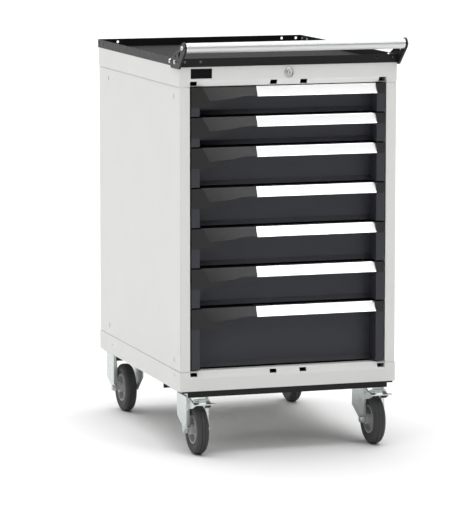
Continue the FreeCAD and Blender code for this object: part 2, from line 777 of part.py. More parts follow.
def bracket():
    """Right handle bracket: eye round the tube, sloping arms, window and rounded foot."""
    x = TRAY_HALF
    eye = Vector(x, TUBE_Y, TUBE_Z)
    foot = TOP_Z - BRACKET_DROP
    rear_top = Vector(x, BRACKET_REAR, TOP_Z + BRACKET_REAR_RISE)
    front_foot = Vector(x, BRACKET_FRONT_FOOT, foot)
    start = tangent_point(eye, BRACKET_EYE_R, front_foot, -1)
    finish = tangent_point(eye, BRACKET_EYE_R, rear_top, 1)
    far = eye + Vector(0, -BRACKET_EYE_R * math.sin(math.radians(55)),
                       BRACKET_EYE_R * math.cos(math.radians(55)))
    corner = BRACKET_CORNER_R
    low = Vector(x, BRACKET_REAR - corner, foot)
    mid = Vector(x, BRACKET_REAR - corner + corner * math.sin(math.pi / 4),
                 foot + corner - corner * math.cos(math.pi / 4))
    high = Vector(x, BRACKET_REAR, foot + corner)
    edges = [
        Part.makeLine(front_foot, start),
        Part.Arc(start, far, finish).toShape(),
        Part.makeLine(finish, rear_top),
        Part.makeLine(rear_top, high),
        Part.Arc(high, mid, low).toShape(),
        Part.makeLine(low, front_foot),
    ]
    plate = Part.Face(Part.Wire(edges)).extrude(Vector(BRACKET_T, 0, 0))
    window = along_x([(y, TOP_Z + z) for y, z in WINDOW], x - 1, x + BRACKET_T + 1)
    upright_edges = [edge for edge in window.Edges
                     if abs(edge.tangentAt(edge.FirstParameter).x) > 0.99]
    window = window.makeFillet(WINDOW_R, upright_edges)
    hole_y, hole_z = BRACKET_HOLE
    holes = [window]
    holes.append(rod(BRACKET_HOLE_R, (x - 1, hole_y, TOP_Z + hole_z),
                     (x + BRACKET_T + 1, hole_y, TOP_Z + hole_z)))
    for y, z in bracket_bolts():
        holes.append(rod(TRAY_HOLE_R, (x - 1, y, z), (x + BRACKET_T + 1, y, z)))
    return plate.cut(Part.makeCompound(holes))


def tangent_point(centre, radius, point, side):
    """Where a line from a point touches a circle in the plane of y and z."""
    run = point - centre
    angle = math.atan2(run.z, run.y) + side * math.acos(radius / run.Length)
    return centre + Vector(0, radius * math.cos(angle), radius * math.sin(angle))


def bracket_bolts():
    """Places (y, z) of the tube's bolt and of the two bolts through the tray's side wall."""
    hole_z = TOP_Z + TRAY_HOLE_Z
    return [
        (TUBE_Y, TUBE_Z),
        (TRAY_HOLE_NEAR - TRAY_FRONT, hole_z),
        (TRAY_HOLE_FAR - TRAY_FRONT, hole_z),
    ]


def push_handle():
    """Round tube between the collars of its end plugs."""
    end = TRAY_HALF - PLUG_COLLAR
    outer = rod(TUBE_R, (-end, TUBE_Y, TUBE_Z), (end, TUBE_Y, TUBE_Z))
    inner = rod(TUBE_R - TUBE_WALL, (-end - 1, TUBE_Y, TUBE_Z), (end + 1, TUBE_Y, TUBE_Z))
    return outer.cut(inner)


def end_plug():
    """Right plug: collar against the bracket and spigot inside the tube."""
    end = TRAY_HALF
    collar = rod(TUBE_R, (end - PLUG_COLLAR, TUBE_Y, TUBE_Z), (end, TUBE_Y, TUBE_Z))
    spigot = rod(TUBE_R - TUBE_WALL, (end - PLUG_COLLAR - PLUG_DEPTH, TUBE_Y, TUBE_Z),
                 (end, TUBE_Y, TUBE_Z))
    thread = rod(BOLT_R, (end - PLUG_DEPTH, TUBE_Y, TUBE_Z), (end + 1, TUBE_Y, TUBE_Z))
    return joined([collar, spigot]).cut(thread)


def handle_bolt(y, z, inner, nut):
    """Cap screw through the right bracket, with a nut inside the tray where asked."""
    face = TRAY_HALF + BRACKET_T
    head = rod(BOLT_HEAD_R, (face, y, z), (face + BOLT_HEAD_T, y, z))
    socket = hexagon(BOLT_R * 0.75, (face + BOLT_HEAD_T / 2, y, z), (face + BOLT_HEAD_T + 1, y, z))
    reach = inner
    parts = [head, rod(BOLT_R, (reach, y, z), (face, y, z))]
    if nut:
        wall = TRAY_HALF - TRAY_SHEET
        parts.append(hexagon(BOLT_HEAD_R + 1.5, (wall - NUT_T, y, z), (wall, y, z)))
    return joined(parts).cut(socket)


def handle_bolts():
    """The three screws of the right bracket."""
    tube_bolt, near, far = bracket_bolts()
    inside = TRAY_HALF - TRAY_SHEET - NUT_T - 1
    return [
        handle_bolt(*tube_bolt, TRAY_HALF - PLUG_DEPTH, False),
        handle_bolt(*near, inside, True),
        handle_bolt(*far, inside, True),
    ]


# Channels and castors

def castor_spots():
    """Side name and x of the left and right castors."""
    return (("left", -CASTOR_X), ("right", CASTOR_X))


def swivel_holes(x):
    """Places (x, y) of the four bolts of a front castor plate."""
    y = FRONT_AXLE_Y + FORK_OFFSET
    return [(x + i * PLATE_BOLT_X, y + j * PLATE_BOLT_Y) for i in (-1, 1) for j in (-1, 1)]


def fixed_holes(x):
    """Places (x, y) of the four bolts of a rear castor plate."""
    return [(x + i * PLATE_BOLT_X, REAR_AXLE_Y + y) for i in (-1, 1) for y in FIXED_BOLT_Y]


def bolt_holes(places, low, high):
    """Cutters for castor bolts at the given places."""
    return [rod(PLATE_BOLT_R, (x, y, low), (x, y, high)) for x, y in places]


def front_channel():
    """Shallow channel, open below, with its front flange cut short beside the castors."""
    front, back = FRONT_CHANNEL
    x = HALF_W - CHANNEL_INSET
    low = BODY_Z - CHANNEL_H
    line = [(front, low), (front, BODY_Z), (back, BODY_Z), (back, low)]
    cutters = []
    short = HALF_W - CHANNEL_NOTCH
    for _, spot in castor_spots():
        near, far = sorted((math.copysign(short, spot), math.copysign(x + 1, spot)))
        cutters.append(block((near, far), (front - 1, front + CHANNEL_T), (low - 1, BODY_Z - CHANNEL_T)))
        cutters += bolt_holes(swivel_holes(spot), low, BODY_Z + 1)
    return along_x(folded(line, -CHANNEL_T), -x, x).cut(Part.makeCompound(cutters))


def rear_channel():
    """Angle across the body above the rear castors, with its flange at the front."""
    front, back = REAR_CHANNEL
    x = HALF_W - CHANNEL_INSET
    low = BODY_Z - CHANNEL_H
    line = [(front, low), (front, BODY_Z), (back, BODY_Z)]
    cutters = []
    for _, spot in castor_spots():
        cutters += bolt_holes(fixed_holes(spot), low, BODY_Z + 1)
    return along_x(folded(line, -CHANNEL_T), -x, x).cut(Part.makeCompound(cutters))


def plate_bolt(x, y):
    """Bolt down through channel and plate, with its nut below."""
    under = CASTOR_H - PLATE_T
    shank = rod(PLATE_BOLT_R, (x, y, under - PLATE_NUT_T), (x, y, BODY_Z))
    nut = hexagon(PLATE_NUT_R, (x, y, under - PLATE_NUT_T), (x, y, under))
    return joined([shank, nut])


def swivel_plate(x):
    """Castor top plate with its upper race, king pin and nut."""
    y = FRONT_AXLE_Y + FORK_OFFSET
    under = CASTOR_H - PLATE_T
    nut_top = CROWN_TOP - FORK_WALL - FORK_GAP
    plate = block((x - PLATE_HALF, x + PLATE_HALF), (y - PLATE_REACH, y + PLATE_REACH),
                  (under, CASTOR_H))
    race = rod(RACE_R, (x, y, CROWN_TOP + FORK_GAP), (x, y, under))
    pin = rod(KING_PIN_R, (x, y, nut_top - KING_NUT_T), (x, y, under))
    nut = hexagon(KING_NUT_R, (x, y, nut_top - KING_NUT_T), (x, y, nut_top))
    holes = bolt_holes(swivel_holes(x), under - 1, CASTOR_H + 1)
    return joined([plate, race, pin, nut]).cut(Part.makeCompound(holes))


def fork_leg(inner, outer, front, rear, bend, top):
    """Leg plate in y from the axle and z, which narrows below the bend to a round eye."""
    eye = Vector(0, 0, AXLE_Z)
    outline = [(front, top), (rear, top)]
    for y, side in ((rear, -1), (front, 1)):
        if abs(y) <= EYE_R:
            edge = [(y, AXLE_Z)]
        else:
            touch = tangent_point(eye, EYE_R, Vector(0, y, bend), side)
            edge = [(y, bend), (touch.y, touch.z)]
        outline += edge if side < 0 else edge[::-1]
    low, high = sorted((inner, outer))
    ring = rod(EYE_R, (low, 0, AXLE_Z), (high, 0, AXLE_Z))
    return joined([along_x(outline, low, high), ring])


def leg_flange(edge, reach, front, top):
    """Flange bent inward along the front edge of a leg, above the axle's eye."""
    low, high = sorted((edge, edge - math.copysign(reach, edge)))
    return block((low, high), (front, front + FORK_WALL), (AXLE_Z + SPACER_R + EYE_CLEAR, top))


def axle_bolt(half):
    """Axle through both legs, with its round head on the left and its thin nut on the right."""
    shank = rod(AXLE_R, (-half - 1, 0, AXLE_Z), (half + AXLE_NUT_T, 0, AXLE_Z))
    head = rod(AXLE_HEAD_R, (-half - AXLE_HEAD_T, 0, AXLE_Z), (-half, 0, AXLE_Z))
    nut = hexagon(AXLE_HEAD_R, (half, 0, AXLE_Z), (half + AXLE_NUT_T, 0, AXLE_Z))
    return joined([shank, head, nut])


def axle_hole(half):
    """Hole for the axle bolt through both legs."""
    return rod(AXLE_R, (-half - 1, 0, AXLE_Z), (half + 1, 0, AXLE_Z))


def swivel_fork():
    """Swivelling fork about its axle: crown, two legs with brake arms, and pivot holes."""
    inner = FORK_HALF - FORK_WALL
    leg = fork_leg(inner, FORK_HALF, LEG_FRONT, LEG_REAR, LEG_BEND_Z, CROWN_TOP)
    flange = leg_flange(FORK_HALF, LEG_FLANGE, LEG_FRONT, CROWN_TOP)
    arm_in = FORK_HALF - LEG_FLANGE
    arm = along_x([
        (LEG_FRONT + FORK_WALL, CROWN_TOP),
        (ARM_TIP, ARM_TIP_TOP),
        (ARM_TIP, ARM_TIP_TOP - ARM_TIP_H),
        (ARM_CHIN_Y, CASTOR_H - ARM_CHIN_DROP),
        (LEG_FRONT + FORK_WALL, CASTOR_H - ARM_ROOT_DROP),
    ], arm_in, arm_in + FORK_WALL)
    side = joined([leg, flange, arm])
    crown = block((-FORK_HALF, FORK_HALF), (LEG_FRONT, LEG_REAR), (CROWN_TOP - FORK_WALL, CROWN_TOP))
    pin_hole = rod(KING_PIN_R + KING_PIN_FIT, (0, FORK_OFFSET, CROWN_TOP - FORK_WALL - 1),
                   (0, FORK_OFFSET, CROWN_TOP + 1))
    pivot = rod(PEDAL_PIN_R + PEDAL_PIN_FIT, (-FORK_HALF, PEDAL_PIVOT_Y, PEDAL_PIVOT_Z),
                (FORK_HALF, PEDAL_PIVOT_Y, PEDAL_PIVOT_Z))
    holes = Part.makeCompound([pin_hole, pivot, axle_hole(FORK_HALF)])
    return joined([side, mirrored(side), crown]).cut(holes)


def fixed_fork():
    """Rigid fork about its axle: the left leg stands back and the right leg stands forward."""
    inner = FIXED_HALF - FORK_WALL
    under = CASTOR_H - PLATE_T
    left = fork_leg(-FIXED_HALF, -inner, *FIXED_LEFT, CASTOR_H - FIXED_LEFT_DROP, under + 1)
    right = fork_leg(inner, FIXED_HALF, *FIXED_RIGHT, CASTOR_H - FIXED_RIGHT_DROP, under + 1)
    flange = leg_flange(-FIXED_HALF, FIXED_FLANGE, FIXED_LEFT[0], under + 1)
    plate = block((-FIXED_HALF, FIXED_HALF), (FIXED_RIGHT[0], FIXED_LEFT[1]), (under, CASTOR_H))
    places = [(x, y - REAR_AXLE_Y) for x, y in fixed_holes(0)]
    holes = bolt_holes(places, under - 1, CASTOR_H + 1) + [axle_hole(FIXED_HALF)]
    y, z = FIXED_HOLE_Y, CASTOR_H - FIXED_HOLE_DROP
    holes.append(rod(FIXED_HOLE_R, (inner - 1, y, z), (FIXED_HALF + 1, y, z)))
    return joined([plate, left, right, flange]).cut(Part.makeCompound(holes))


def brake_pedal():
    """Brake pedal about its axle: pivot tube and pin, step with its neck, and wide tread."""
    arm_in = FORK_HALF - LEG_FLANGE
    half = arm_in - PEDAL_SIDE_GAP
    pin_half = arm_in + FORK_WALL + PEDAL_SIDE_GAP
    y, z = PEDAL_PIVOT_Y, PEDAL_PIVOT_Z
    tube = rod(PEDAL_TUBE_R, (-half, y, z), (half, y, z))
    pin = rod(PEDAL_PIN_R, (-pin_half, y, z), (pin_half, y, z))
    rise = PEDAL_STEP_Z - PEDAL_T
    step_back = PEDAL_STEP_Y + PEDAL_STEP_DEPTH
    arm = along_x(folded([
        (y, z + PEDAL_TUBE_R - PEDAL_T),
        (step_back, rise),
        (PEDAL_STEP_Y, rise),
        (PEDAL_STEP_Y - PEDAL_T, PEDAL_TREAD_Z - PEDAL_T),
        (PEDAL_TREAD_Y, PEDAL_TREAD_Z - PEDAL_T),
    ], -PEDAL_T), -PEDAL_NECK_HALF, PEDAL_NECK_HALF)
    step = block((-half, half), (PEDAL_STEP_Y, step_back), (PEDAL_STEP_Z - PEDAL_STEP_H, PEDAL_STEP_Z))
    tread_z = (PEDAL_TREAD_Z - PEDAL_T, PEDAL_TREAD_Z)
    tread = block((-PEDAL_HALF, PEDAL_HALF), (PEDAL_REACH, PEDAL_TREAD_Y), tread_z)
    return joined([tube, pin, arm, step, tread])


def tyre():
    """Rubber tyre about its axle: rounded shoulders and two grooves in the tread."""
    half = TYRE_W / 2
    corner = TYRE_CORNER
    turn = math.sin(math.pi / 4)
    flat = half - corner
    right = [
        Vector(flat, 0, WHEEL_R),
        Vector(flat + corner * turn, 0, WHEEL_R - corner + corner * turn),
        Vector(half, 0, WHEEL_R - corner),
        Vector(half - RIM_T, 0, TYRE_INNER_R),
    ]
    left = [Vector(-point.x, 0, point.z) for point in right]
    edges = [
        Part.makeLine(left[0], right[0]),
        Part.Arc(*right[:3]).toShape(),
        Part.makeLine(right[2], right[3]),
        Part.makeLine(right[3], left[3]),
        Part.makeLine(left[3], left[2]),
        Part.Arc(left[2], left[1], left[0]).toShape(),
    ]
    ring = Part.Face(Part.Wire(edges)).revolve(Vector(0, 0, 0), Vector(1, 0, 0), 360)
    grooves = []
    for side in (-1, 1):
        x = side * flat
        cut = Part.makePolygon([Vector(x - GROOVE_R, 0, WHEEL_R + 1), Vector(x, 0, WHEEL_R - 2 * GROOVE_R),
                                Vector(x + GROOVE_R, 0, WHEEL_R + 1), Vector(x - GROOVE_R, 0, WHEEL_R + 1)])
        grooves.append(Part.Face(cut).revolve(Vector(0, 0, 0), Vector(1, 0, 0), 360))
    return moved(ring.cut(Part.makeCompound(grooves)), z=AXLE_Z)


def hub(half_fork):
    """Wheel centre about its axle, for a fork's half width: rim, web with holes, bored hub."""
    rim = TYRE_INNER_R
    half_rim = RIM_W / 2
    half_web = WEB_T / 2
    half_hub = half_fork - FORK_WALL - HUB_SIDE_GAP
    bore = AXLE_R + AXLE_FIT
    right = [
        (half_rim, rim), (half_rim, rim - RIM_T), (half_web, rim - 2 * RIM_T), (half_web, HUB_R),
        (HUB_HALF, HUB_R), (HUB_HALF, SPACER_R), (half_hub, SPACER_R), (half_hub, bore),
    ]
    outline = right + [(-x, r) for x, r in reversed(right)]
    points = [Vector(x, 0, r) for x, r in outline]
    body = Part.Face(Part.makePolygon(points + points[:1])).revolve(Vector(0, 0, 0), Vector(1, 0, 0), 360)
    holes = []
    for index in range(HUB_HOLES):
        angle = 2 * math.pi * index / HUB_HOLES
        y = HUB_HOLE_RING * math.cos(angle)
        z = HUB_HOLE_RING * math.sin(angle)
        holes.append(rod(HUB_HOLE_R, (-half_web - 1, y, z), (half_web + 1, y, z)))
    return moved(body.cut(Part.makeCompound(holes)), z=AXLE_Z)


# Build and write every node

def build_body():
    """Panels, rails and lock."""
    panel = side_panel()
    save("side_panel_right", panel)
    save("side_panel_left", mirrored(panel))
    save("top_cap", top_cap())
    save("base_plinth", base_plinth())
    save("back_panel", back_panel())
    front, rear = upright(UPRIGHT_FRONT), upright(UPRIGHT_REAR)
    save("rail_uprights", front, rear, mirrored(front), mirrored(rear))
    rails = [cabinet_rail(base + RAIL_LIFT) for base, _ in drawer_levels()]
    save("cabinet_rails", *rails, *[mirrored(rail) for rail in rails])
    save("lock_housing", lock_housing())
    save("lock_barrel", lock_barrel())
    save("lock_bar", *lock_bar(drawer_levels()))


def build_drawers():
    """Seven drawers with their handles, end caps and middle rails."""
    for number, (base, top) in enumerate(drawer_levels(), 1):
        name = "drawer_%d" % number
        save(name + "_tub", *drawer_tub(base, top))
        save(name + "_handle", handle_profile(top))
        save(name + "_end_caps", left_cap(top), right_cap(top))
        rail = middle_rail(base + RAIL_LIFT)
        save(name + "_middle_rails", rail, mirrored(rail))


def build_top():
    """Tray and push handle."""
    save("top_tray", *top_tray())
    plate = bracket()
    save("handle_brackets", plate, mirrored(plate))
    save("push_handle", push_handle())
    plug = end_plug()
    save("handle_end_plugs", plug, mirrored(plug))
    bolts = handle_bolts()
    save("handle_bolts", *bolts, *[mirrored(bolt) for bolt in bolts])


def build_castors():
    """Channels, forks, pedals and wheels."""
    save("base_channels", front_channel(), rear_channel())
    save("castor_plates", *[swivel_plate(x) for _, x in castor_spots()])
    rigid = fixed_fork()
    save("fixed_forks", *[moved(rigid, x, REAR_AXLE_Y) for _, x in castor_spots()])
    fork, bolt, pedal = swivel_fork(), axle_bolt(FORK_HALF), brake_pedal()
    rubber, fixed_bolt = tyre(), axle_bolt(FIXED_HALF)
    places = (("front", FRONT_AXLE_Y, hub(FORK_HALF)), ("rear", REAR_AXLE_Y, hub(FIXED_HALF)))
    fasteners = []
    for side, x in castor_spots():
        save("swivel_fork_" + side, moved(fork, x, FRONT_AXLE_Y), moved(bolt, x, FRONT_AXLE_Y))
        save("brake_pedal_" + side, moved(pedal, x, FRONT_AXLE_Y))
        for place, y, centre in places:
            save("tyre_%s_%s" % (place, side), moved(rubber, x, y))
            save("hub_%s_%s" % (place, side), moved(centre, x, y))
        fasteners.append(moved(fixed_bolt, x, REAR_AXLE_Y))
        fasteners += [plate_bolt(*hole) for hole in swivel_holes(x) + fixed_holes(x)]
    save("castor_fasteners", *fasteners)


os.makedirs("parts", exist_ok=True)
build_body()
build_drawers()
build_top()
build_castors()
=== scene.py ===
"""Finish, lighting and camera of the mobile drawer cabinet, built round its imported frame.

Sizes are written in millimetres and turned into metres where they meet Blender.
The frame has x to the right, y to the back and z up from the floor.
"""
from __future__ import annotations

import json
import logging
import math
from dataclasses import dataclass
from enum import Enum
from typing import Sequence

import bpy
import numpy as np
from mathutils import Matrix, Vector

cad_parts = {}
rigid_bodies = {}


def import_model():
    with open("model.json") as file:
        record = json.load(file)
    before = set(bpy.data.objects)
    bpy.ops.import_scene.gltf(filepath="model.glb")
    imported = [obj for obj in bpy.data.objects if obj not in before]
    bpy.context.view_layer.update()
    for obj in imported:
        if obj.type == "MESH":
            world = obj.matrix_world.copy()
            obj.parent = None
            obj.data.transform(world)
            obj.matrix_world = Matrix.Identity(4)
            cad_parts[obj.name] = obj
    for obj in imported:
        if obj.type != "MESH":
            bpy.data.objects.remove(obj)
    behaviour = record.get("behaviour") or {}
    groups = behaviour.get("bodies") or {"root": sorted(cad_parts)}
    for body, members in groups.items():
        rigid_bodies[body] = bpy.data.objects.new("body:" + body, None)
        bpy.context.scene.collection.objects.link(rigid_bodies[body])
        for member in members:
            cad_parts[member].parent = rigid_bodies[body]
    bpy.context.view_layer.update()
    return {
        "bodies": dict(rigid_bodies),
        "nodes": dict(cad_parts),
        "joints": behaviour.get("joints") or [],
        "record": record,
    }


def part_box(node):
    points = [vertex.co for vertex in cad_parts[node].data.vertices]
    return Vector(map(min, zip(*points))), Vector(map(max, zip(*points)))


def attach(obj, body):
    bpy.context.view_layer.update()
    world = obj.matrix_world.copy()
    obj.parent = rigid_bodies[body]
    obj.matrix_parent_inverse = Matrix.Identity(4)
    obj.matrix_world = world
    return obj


log = logging.getLogger("drawer_cabinet")

MM = 0.001
DRAWERS = 7
Color = tuple[float, float, float]


class Side(Enum):
    """The two sides of the cabinet as seen from the drawers."""

    LEFT = "left"
    RIGHT = "right"


class Place(Enum):
    """Front and rear pairs of castors."""

    FRONT = "front"
    REAR = "rear"


class Graph:
    """Node tree of one material, with short calls for the nodes that the finishes share."""

    def __init__(self, name: str) -> None:
        """Start an empty node material with a Principled shader.

        Args:
            name: Name of the material.
        """
        self.material = bpy.data.materials.new(name)
        self.material.use_nodes = True
        self.tree = self.material.node_tree
        self.tree.nodes.clear()
        self.output = self.tree.nodes.new("ShaderNodeOutputMaterial")
        self.shader = self.tree.nodes.new("ShaderNodeBsdfPrincipled")
        self.link(self.shader.outputs[0], self.output.inputs["Surface"])
        self.place = self.tree.nodes.new("ShaderNodeTexCoord").outputs["Object"]

    def link(self, source: bpy.types.NodeSocket, target: bpy.types.NodeSocket) -> None:
        """Join two sockets."""
        self.tree.links.new(source, target)

    def set(self, socket: str, value: float | Color) -> None:
        """Set one constant of the shader.

        Args:
            socket: Name of the shader's input.
            value: Number, or red, green and blue.
        """
        target = self.shader.inputs[socket]
        target.default_value = (*value, 1.0) if isinstance(value, tuple) else value

    def noise(self, scale: float, detail: float = 2.0,
              stretch: Color = (1.0, 1.0, 1.0)) -> bpy.types.NodeSocket:
        """Fractal noise on the object's own coordinates.

        Args:
            scale: Bumps to a metre.
            detail: Octaves.
            stretch: Factor of each axis, below 1 for streaks along it.

        Returns:
            The noise value, about 0.5 in the middle.
        """
        place = self.place
        if stretch != (1.0, 1.0, 1.0):
            mapping = self.tree.nodes.new("ShaderNodeMapping")
            mapping.inputs["Scale"].default_value = stretch
            self.link(self.place, mapping.inputs["Vector"])
            place = mapping.outputs["Vector"]
        node = self.tree.nodes.new("ShaderNodeTexNoise")
        node.inputs["Scale"].default_value = scale
        node.inputs["Detail"].default_value = detail
        self.link(place, node.inputs["Vector"])
        return node.outputs["Fac"]

    def spread(self, value: bpy.types.NodeSocket, low: float, high: float) -> bpy.types.NodeSocket:
        """Map the middle half of a noise value onto a range.

        Args:
            value: Noise value.
            low: Result at 0.3.
            high: Result at 0.7.

        Returns:
            The mapped value.
        """
        node = self.tree.nodes.new("ShaderNodeMapRange")
        node.inputs["From Min"].default_value = 0.3
        node.inputs["From Max"].default_value = 0.7
        node.inputs["To Min"].default_value = low
        node.inputs["To Max"].default_value = high
        self.link(value, node.inputs["Value"])
        return node.outputs["Result"]

    def blend(self, value: bpy.types.NodeSocket, low: Color, high: Color) -> bpy.types.NodeSocket:
        """Mix two colours by a varying value.

        Args:
            value: Factor between 0 and 1.
            low: Colour at 0.
            high: Colour at 1.

        Returns:
            The mixed colour.
        """
        node = self.tree.nodes.new("ShaderNodeMix")
        node.data_type = "RGBA"
        node.inputs[6].default_value = (*low, 1.0)
        node.inputs[7].default_value = (*high, 1.0)
        self.link(value, node.inputs["Factor"])
        return node.outputs[2]

    def soft_edges(self, radius: float) -> bpy.types.NodeSocket:
        """Normal that rounds the piece's sharp edges.

        Args:
            radius: Radius of the rounding in millimetres.

        Returns:
            The rounded normal.
        """
        node = self.tree.nodes.new("ShaderNodeBevel")
        node.samples = 4
        node.inputs["Radius"].default_value = radius * MM
        return node.outputs["Normal"]

    def bump(self, heights: Sequence[tuple[bpy.types.NodeSocket, float]], edge: float) -> None:
        """Lay bumps over rounded edges and feed them to the shader.

        Args:
            heights: Height values, each with its depth in millimetres.
            edge: Radius of the rounded edges in millimetres.
        """
        normal = self.soft_edges(edge)
        for height, depth in heights:
            node = self.tree.nodes.new("ShaderNodeBump")
            node.inputs["Distance"].default_value = depth * MM
            node.inputs["Strength"].default_value = 1.0
            self.link(height, node.inputs["Height"])
            self.link(normal, node.inputs["Normal"])
            normal = node.outputs["Normal"]
        self.link(normal, self.shader.inputs["Normal"])


def shade(color: Color, factor: float) -> Color:
    """A colour made lighter or darker by a factor."""
    return tuple(min(1.0, channel * factor) for channel in color)


@dataclass(frozen=True)
class PowderCoat:
    """Baked powder coat: fine orange peel, faint clouds in colour and gloss."""

    name: str
    color: Color
    roughness: float = 0.5
    peel: float = 0.012
    peel_scale: float = 900.0
    cloud: float = 0.03
    cloud_scale: float = 9.0
    patch_scale: float = 60.0
    patch: float = 0.04
    gloss: float = 0.4
    edge: float = 0.6

    def build(self) -> bpy.types.Material:
        """Make the material."""
        graph = Graph(self.name)
        clouds = graph.noise(self.cloud_scale, 4.0)
        factor = graph.spread(clouds, 0.0, 1.0)
        light = shade(self.color, 1.0 + self.cloud)
        dark = shade(self.color, 1.0 - self.cloud)
        graph.link(graph.blend(factor, dark, light), graph.shader.inputs["Base Color"])
        patches = graph.noise(self.patch_scale, 3.0)
        gloss = graph.spread(patches, self.roughness - self.patch, self.roughness + self.patch)
        graph.link(gloss, graph.shader.inputs["Roughness"])
        graph.set("Specular IOR Level", self.gloss)
        peel = graph.noise(self.peel_scale, 2.0)
        graph.bump([(peel, self.peel)], self.edge)
        return graph.material


@dataclass(frozen=True)
class BrushedMetal:
    """Metal with fine streaks along one axis, from drawing, brushing or anodising."""

    name: str
    color: Color
    roughness: float = 0.32
    metallic: float = 1.0
    streak: Color = (0.02, 1.0, 1.0)
    streak_scale: float = 1400.0
    streak_tones: tuple[float, float] = (0.93, 1.05)
    patch_scale: float = 25.0
    patch: tuple[float, float] = (-0.04, 0.05)
    depth: float = 0.003
    edge: float = 0.5

    def build(self) -> bpy.types.Material:
        """Make the material."""
        graph = Graph(self.name)
        streaks = graph.noise(self.streak_scale, 3.0, self.streak)
        tone = graph.spread(streaks, 0.0, 1.0)
        dark, light = (shade(self.color, factor) for factor in self.streak_tones)
        graph.link(graph.blend(tone, dark, light), graph.shader.inputs["Base Color"])
        patches = graph.noise(self.patch_scale, 3.0)
        gloss = graph.spread(patches, *(self.roughness + change for change in self.patch))
        graph.link(gloss, graph.shader.inputs["Roughness"])
        graph.set("Metallic", self.metallic)
        graph.bump([(streaks, self.depth)], self.edge)
        return graph.material


@dataclass(frozen=True)
class ZincPlate:
    """Bright zinc on pressed steel: cool, softly mottled, faintly pitted."""

    name: str
    color: Color
    tint: Color
    roughness: float = 0.34
    metallic: float = 0.85
    mottle_scale: float = 55.0
    mottle: tuple[float, float] = (-0.05, 0.08)
    pit: float = 0.006
    pit_scale: float = 700.0
    edge: float = 1.0

    def build(self) -> bpy.types.Material:
        """Make the material."""
        graph = Graph(self.name)
        mottle = graph.noise(self.mottle_scale, 5.0)
        graph.link(graph.blend(graph.spread(mottle, 0.0, 1.0), self.tint, self.color),
                   graph.shader.inputs["Base Color"])
        gloss = graph.spread(mottle, *(self.roughness + change for change in self.mottle))
        graph.link(gloss, graph.shader.inputs["Roughness"])
        graph.set("Metallic", self.metallic)
        graph.bump([(graph.noise(self.pit_scale, 2.0), self.pit)], self.edge)
        return graph.material


@dataclass(frozen=True)
class Moulding:
    """Moulded plastic or rubber with a fine spark-eroded grain."""

    name: str
    color: Color
    roughness: float = 0.55
    grain: float = 0.02
    grain_scale: float = 1100.0
    bloom: float = 0.06
    bloom_scale: float = 22.0
    patch_scale: float = 240.0
    patch: float = 0.05
    gloss: float = 0.4
    coat: float = 0.0
    coat_roughness: float = 0.12
    edge: float = 0.5

    def build(self) -> bpy.types.Material:
        """Make the material."""
        graph = Graph(self.name)
        haze = graph.spread(graph.noise(self.bloom_scale, 4.0), 0.0, 1.0)
        dark = shade(self.color, 1.0 - self.bloom)
        light = shade(self.color, 1.0 + self.bloom)
        graph.link(graph.blend(haze, dark, light), graph.shader.inputs["Base Color"])
        patches = graph.noise(self.patch_scale, 2.0)
        gloss = graph.spread(patches, self.roughness - self.patch, self.roughness + self.patch)
        graph.link(gloss, graph.shader.inputs["Roughness"])
        graph.set("Specular IOR Level", self.gloss)
        if self.coat:
            graph.set("Coat Weight", self.coat)
            graph.set("Coat Roughness", self.coat_roughness)
        graph.bump([(graph.noise(self.grain_scale, 2.0), self.grain)], self.edge)
        return graph.material


@dataclass(frozen=True)
class StudioFloor:
    """Pale matt floor that keeps the soft shadow."""

    name: str = "studio_floor"
    color: Color = (0.9, 0.9, 0.9)

    def build(self) -> bpy.types.Material:
        """Make the material."""
        material = bpy.data.materials.new(self.name)
        material.use_nodes = True
        tree = material.node_tree
        tree.nodes.clear()
        output = tree.nodes.new("ShaderNodeOutputMaterial")
        diffuse = tree.nodes.new("ShaderNodeBsdfDiffuse")
        diffuse.inputs["Color"].default_value = (*self.color, 1.0)
        tree.links.new(diffuse.outputs[0], output.inputs["Surface"])
        return material


def mesh_object(name: str, points: np.ndarray, faces: list[tuple[int, ...]]) -> bpy.types.Object:
    """Put corner points and faces into a new mesh object at the origin.

    Args:
        name: Name of the piece.
        points: Corners in millimetres, one row each.
        faces: Corner numbers of each face, anticlockwise from outside.

    Returns:
        The linked object.
    """
    mesh = bpy.data.meshes.new(name)
    mesh.from_pydata((points * MM).tolist(), [], faces)
    mesh.validate()
    mesh.update()
    piece = bpy.data.objects.new(name, mesh)
    bpy.context.scene.collection.objects.link(piece)
    return piece


def ring_faces(rings: int, count: int) -> list[tuple[int, ...]]:
    """Quads between rings of points laid one after another, and a face over each end.

    Args:
        rings: How many closed rings.
        count: Points in each ring.

    Returns:
        Corner numbers of each face.
    """
    step = np.arange(count)
    after = (step + 1) % count
    base = np.arange(rings - 1)[:, None] * count
    quads = np.stack([base + step, base + after, base + after + count, base + step + count], axis=-1)
    faces = [tuple(quad) for quad in quads.reshape(-1, 4).tolist()]
    last = (rings - 1) * count
    return faces + [tuple(range(count))[::-1], tuple(range(last, last + count))]


def rounded_outline(width: float, height: float, corner: float, steps: int = 6) -> np.ndarray:
    """Rectangle with round corners: a quarter circle of angles about each corner's centre.

    Args:
        width: Width in millimetres.
        height: Height in millimetres.
        corner: Corner radius in millimetres.
        steps: Points to a quarter circle.

    Returns:
        Points (a, b), anticlockwise, about the middle.
    """
    quarter = np.linspace(0.0, math.pi / 2, steps)
    angles = np.concatenate([quarter + turn * math.pi / 2 for turn in range(4)])
    signs = np.repeat(np.array([(1, 1), (-1, 1), (-1, -1), (1, -1)], float), steps, axis=0)
    centres = signs * np.array([width / 2 - corner, height / 2 - corner])
    return centres + corner * np.stack([np.cos(angles), np.sin(angles)], axis=-1)


